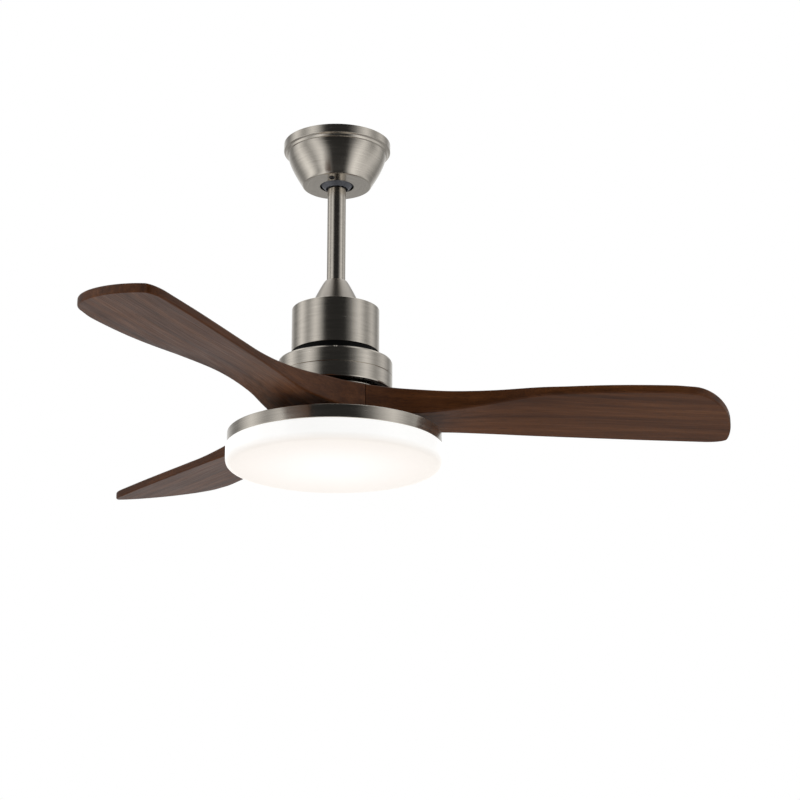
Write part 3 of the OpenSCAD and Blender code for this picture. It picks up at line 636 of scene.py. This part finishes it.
SLOT_MATERIALS = {
    "nickel_sheet": nickel,
    "nickel_cast": cast,
    "zinc_steel": zinc_plate("zinc_plate"),
    "bearing_steel": ground_steel("ground_steel"),
    "dark_steel": black_oxide("black_oxide"),
    "laminations": laminations("electrical_steel"),
    "magnet": sintered_magnet("sintered_magnet"),
    "ball_grey": powder_coat("ball_powder_coat"),
    "walnut": walnut_wood,
    "copper_wire": copper_winding("enamelled_copper"),
    "black_plastic": moulded_plastic("black_plastic", (0.004, 0.004, 0.004), 0.62, shine=0.12),
    "dark_plastic": moulded_plastic("component_plastic", (0.04, 0.04, 0.055), 0.35),
    "white_plastic": moulded_plastic("white_plastic", (0.78, 0.78, 0.75), 0.45),
    "circuit_board": circuit_board("green_board", (0.012, 0.12, 0.045), (0.05, 0.30, 0.12)),
    "led_board_white": circuit_board("white_board", (0.82, 0.82, 0.80), (0.70, 0.70, 0.67)),
    "black_rubber": rubber_sheet("black_rubber"),
    "led_chip": led_phosphor("led_phosphor"),
    "opal_diffuser": opal_acrylic("opal_acrylic", lamp_low, lamp_r),
}

# CAD nodes that stay get a material by slot. The turned ones in view also get a fine bevel.
ROUND_EDGED = ("rotor_upper_bell", "rotor_lower_bell", "clamp_plate")
for entry in frame["record"]["subparts"]:
    cad = frame["nodes"][entry["node"]]
    cad.data.materials.clear()
    cad.data.materials.append(SLOT_MATERIALS[entry["material_slot"]])
    for polygon in cad.data.polygons:
        polygon.material_index = 0
    if entry["node"] in ROUND_EDGED:
        bevel = cad.modifiers.new("edge", "BEVEL")
        bevel.width = 0.0006
        bevel.segments = 2
        bevel.limit_method = "ANGLE"
        bevel.angle_limit = math.radians(50)

# Thickness of the canopy, housing and pan sheet, and radius of the hole for the motor shaft
SHEET = 1.5
SHAFT_HOLE_R = 14.0

# Canopy: band, stepped bead, bowl and flat floor
CANOPY_R = outer_radius("canopy")
CANOPY_Z = heights("canopy")[0]
BAND = -11.3
BOWL_TOP = -15.9
BOWL_R = 67.0
BOWL_NARROWS = 19.7
BOWL_CURVE = 1.4
BOWL_H = 42.6
FLOOR_R = 45.3
BALL_HOLE_R = 23.0
BOWL_STEPS = 16


def bowl_points(top_r, height):
    """Points down a bowl that narrows faster and faster."""
    shares = (k / BOWL_STEPS for k in range(BOWL_STEPS + 1))
    return [(top_r - BOWL_NARROWS * t ** BOWL_CURVE, BOWL_TOP - height * t, 0) for t in shares]


turned("canopy_spun", [
    (CANOPY_R - SHEET, 0, 0.2), (CANOPY_R, 0, 0.3), (CANOPY_R, BAND, 0.8), (CANOPY_R - 2.9, BAND - 1.3, 0.6),
    (BOWL_R + 1.4, BOWL_TOP + 0.6, 0.5), *bowl_points(BOWL_R, BOWL_H), (FLOOR_R + 1.5, CANOPY_Z + 1.0, 0.4),
    (FLOOR_R, CANOPY_Z, 1.0), (BALL_HOLE_R, CANOPY_Z, 0.35), (BALL_HOLE_R, CANOPY_Z + SHEET, 0.2),
    (FLOOR_R - 1.0, CANOPY_Z + SHEET, 0.5), *reversed(bowl_points(BOWL_R - SHEET, BOWL_H - 1.0)),
    (BOWL_R - 0.1, BAND - 1.8, 0), (CANOPY_R - SHEET, BAND + 1.0, 0.5)],
    nickel, "ceiling", "canopy")

CANOPY_SCREW_RING = 33.0
CANOPY_SCREW_ANGLE = 78.0
CANOPY_SCREW = {"face_z": CANOPY_Z, "head_r": 4.0, "head_h": 2.0, "shank_r": 1.9, "shank_l": 6.5}
canopy_screw_spots = [(CANOPY_SCREW_RING * math.cos(turn), CANOPY_SCREW_RING * math.sin(turn))
                      for turn in (math.radians(CANOPY_SCREW_ANGLE + side) for side in (0, 180))]
canopy_screws = screws("canopy_screws_domed", canopy_screw_spots, CANOPY_SCREW, SLOT_MATERIALS["dark_steel"])
place_piece(canopy_screws, "ceiling", "canopy_screws")

# Downrod
ROD_R = outer_radius("downrod")
ROD_BORE_R = 10.7
ROD_LOW, ROD_TOP = heights("downrod")
turned("downrod_tube", [
    (ROD_R, ROD_LOW, 0.4), (ROD_R, ROD_TOP, 0.4), (ROD_BORE_R, ROD_TOP, 0.3), (ROD_BORE_R, ROD_LOW, 0.3)],
    nickel, "drop", "downrod")

# Coupling cover: a satin cone with a rounded shoulder
COVER_Z = heights("coupling_cover")[1]
COVER_FOOT_R = outer_radius("coupling_cover")
COVER_HOLE_R = ROD_R + 0.2
COVER_SHEET = 1.65
HOUSING_LOW, HOUSING_TOP = heights("housing_shell")
CONE_R = 17.5
CONE_CURVE = 0.93
CONE_STEPS = 12
CONE_TOP = COVER_Z - 4.5
CONE_H = CONE_TOP - HOUSING_TOP
cone = [(CONE_R + (COVER_FOOT_R - CONE_R) * t ** CONE_CURVE, CONE_TOP - CONE_H * t, 0)
        for t in (k / CONE_STEPS for k in range(1, CONE_STEPS + 1))]
inner_cone = [(r - COVER_SHEET, z, 0) for r, z, _ in reversed(cone)]
turned("coupling_cover_cone", [
    (COVER_HOLE_R, COVER_Z, 0.2), (14.6, COVER_Z, 0.8), (CONE_R - 0.5, CONE_TOP + 1.2, 2.2), *cone,
    *inner_cone, (COVER_HOLE_R, CONE_TOP - 1.0, 0.3)],
    satin, "drop", "coupling_cover")

# Upper housing: a drum with a closed top
HOUSING_R = outer_radius("housing_shell")
HOUSING_HOLE_R = 17.7
turned("housing_drum", [
    (HOUSING_HOLE_R, HOUSING_TOP, 0.2), (HOUSING_R, HOUSING_TOP, 1.1), (HOUSING_R, HOUSING_LOW, 1.2),
    (HOUSING_R - SHEET, HOUSING_LOW, 0.2), (HOUSING_R - SHEET, HOUSING_TOP - SHEET, 0.8),
    (HOUSING_HOLE_R, HOUSING_TOP - SHEET, 0.2)],
    nickel, "drop", "housing_shell")

# Hub: a bright flange with a round edge, just above the wood
HUB_LOW, HUB_TOP = heights("hub_plate")
FLANGE_R = outer_radius("hub_plate")
FLANGE_TOP = HUB_TOP - 2.0
FLANGE_LOW = FLANGE_TOP - 2.4
FLANGE_ROUND = 1.15
HUB_NECK_R = 40.0
HUB_R = 58.0
turned("hub_flange", [
    (SHAFT_HOLE_R, HUB_TOP, 0.2), (HUB_NECK_R, HUB_TOP, 0.3), (HUB_NECK_R, FLANGE_TOP, 0.5),
    (FLANGE_R, FLANGE_TOP, FLANGE_ROUND), (FLANGE_R, FLANGE_LOW, FLANGE_ROUND), (HUB_R, FLANGE_LOW, 0.4),
    (HUB_R, HUB_LOW, 0.3), (SHAFT_HOLE_R, HUB_LOW, 0.2)],
    nickel, "rotor", "hub_plate")

# Lamp pan: brushed rim, rounded above, with a lip turned in below
PAN_R = outer_radius("lamp_pan")
PAN_LOW, PAN_TOP = heights("lamp_pan")
LIP_R = 137.5
LIP_TOP = PAN_LOW + 1.6
turned("lamp_pan_rim", [
    (SHAFT_HOLE_R, PAN_TOP, 0.2), (PAN_R - 2.5, PAN_TOP, 0.4), (PAN_R, PAN_TOP - 1.2, 0.8),
    (PAN_R, PAN_LOW + 0.9, 0.3), (PAN_R - 0.9, PAN_LOW, 0.2), (LIP_R, PAN_LOW, 0.2), (LIP_R, LIP_TOP, 0.2),
    (PAN_R - SHEET, LIP_TOP, 0.2), (PAN_R - SHEET, PAN_TOP - SHEET, 0.8),
    (SHAFT_HOLE_R, PAN_TOP - SHEET, 0.2)],
    nickel, "drop", "lamp_pan")

# Diffuser: dish with a rounded foot, and its collar inside the pan
DISH_R = outer_radius("diffuser")
DISH_SHEET = 2.5
DISH_TOP = PAN_LOW - 0.3
LAMP_LOW, LAMP_TOP = heights("diffuser")
COLLAR_R = 137.1
COLLAR_BORE_R = COLLAR_R - DISH_SHEET
dish_inside_r = DISH_R - 2.7
turned("diffuser_dish", [
    (0, LAMP_LOW, 0), (90.0, LAMP_LOW, 0), (DISH_R, LAMP_LOW, 9.5), (DISH_R, DISH_TOP, 0.8),
    (COLLAR_R, DISH_TOP, 0.2), (COLLAR_R, LAMP_TOP, 0.3), (COLLAR_BORE_R, LAMP_TOP, 0.3),
    (COLLAR_BORE_R, PAN_LOW - 3.0, 1.0), (dish_inside_r, PAN_LOW - 5.5, 1.0),
    (dish_inside_r, LAMP_LOW + DISH_SHEET, 7.0), (0, LAMP_LOW + DISH_SHEET, 0)],
    SLOT_MATERIALS["opal_diffuser"], "diffuser", "diffuser", closed=False)

make_blades(walnut_wood)


# ---------- studio ----------

# Floor and camera, in metres and degrees, with the lens and the sensor in millimetres
FLOOR_Z = -5.0
FLOOR_RADIUS = 60.0
CAMERA_PLACE = (0.0, -2.658, -1.175)
CAMERA_TILT_UP = 16.954
CAMERA_TURN = -1.857
CAMERA_LENS = 94.5
CAMERA_SENSOR = 36.0
# Brightness of the walls, of the ceiling towards the back and of the ground. Walls are LOW_GAIN times as
# bright far below eye level.
FRONT_LIGHT = 0.03
SIDE_LIGHT = 0.3
BACK_LIGHT = 0.55
LOW_GAIN = 1.3
CEILING_LIGHT = 1.3
GROUND_LIGHT = 0.5
# Tall soft boxes round the fan: the angle from the front at eye level and far below it (left is negative),
# half the width, and the brightness. The front between the first two stays dark.
SOFT_BOXES = [(-55, -40, 25, 0.7), (65, 55, 25, 0.7), (-100, -90, 25, 0.8), (110, 85, 25, 0.5)]


def make_world():
    """Soft studio that is white to the camera. Everything else sees its walls, floor and ceiling."""
    world = bpy.data.worlds.new("studio")
    world.use_nodes = True
    nodes = Nodes(world.node_tree)

    def blend(factor, first, second):
        change = nodes.math("SUBTRACT", second, first)
        return nodes.math("ADD", first, nodes.math("MULTIPLY", factor, change))

    direction = nodes.node("TexCoord").outputs["Generated"]
    x, y, z = nodes.node("SeparateXYZ", {0: direction}).outputs
    angle = nodes.math("DEGREES", nodes.math("ARCTAN2", x, nodes.math("MULTIPLY", y, -1.0)))
    aside = nodes.math("ABSOLUTE", angle)
    below = nodes.spread(z, 0.0, -0.45)
    fill = nodes.spread(aside, 25, 45, FRONT_LIGHT, SIDE_LIGHT)
    back = nodes.spread(aside, 135, 165, 0.0, BACK_LIGHT)
    walls = nodes.math("ADD", fill, nodes.math("MULTIPLY", back, nodes.spread(z, -0.4, 0.0)))
    for high_angle, low_angle, half_width, brightness in SOFT_BOXES:
        centre = blend(below, high_angle, low_angle)
        away = nodes.math("ABSOLUTE", nodes.math("SUBTRACT", angle, centre))
        walls = nodes.math("ADD", walls, nodes.spread(away, half_width, 0, 0.0, brightness))
    walls = nodes.math("MULTIPLY", walls, nodes.spread(z, 0.0, -0.45, 1.0, LOW_GAIN))
    ceiling = nodes.math("MULTIPLY", nodes.spread(z, 0.55, 0.9), nodes.spread(y, -0.1, 0.3))
    room = blend(nodes.spread(z, -0.75, -0.95), blend(ceiling, walls, CEILING_LIGHT), GROUND_LIGHT)
    seen = nodes.node("LightPath").outputs["Is Camera Ray"]
    nodes.feed(world.node_tree.nodes["Background"].inputs["Color"], blend(seen, room, 1.0))
    bpy.context.scene.world = world


def make_floor():
    """Pale floor far below the fan. It lights the underside, and the metal doesn't mirror it."""
    builder = bmesh.new()
    bmesh.ops.create_circle(builder, cap_ends=True, segments=96, radius=FLOOR_RADIUS)
    bmesh.ops.translate(builder, verts=builder.verts, vec=(0, 0, FLOOR_Z))
    shader = Shader("pale_floor", 0.9)
    haze = shader.noise(shader.position()[0], 0.8, 3.0)
    shader.set("Base Color", shader.ramp(haze, (0.3, (0.88, 0.88, 0.88)), (0.7, (0.93, 0.93, 0.93))))
    floor = finish_mesh("floor", builder, shader.material)
    floor.visible_glossy = False


def make_camera():
    """Long lens below the fan, looking up at it."""
    data = bpy.data.cameras.new("camera")
    data.lens = CAMERA_LENS
    data.sensor_width = CAMERA_SENSOR
    data.clip_end = 100.0
    camera = bpy.data.objects.new("camera", data)
    camera.location = CAMERA_PLACE
    camera.rotation_euler = (math.radians(90 + CAMERA_TILT_UP), 0.0, math.radians(CAMERA_TURN))
    bpy.context.scene.collection.objects.link(camera)
    bpy.context.scene.camera = camera


make_world()
make_floor()
make_camera()
bpy.context.scene.view_settings.view_transform = "Standard"
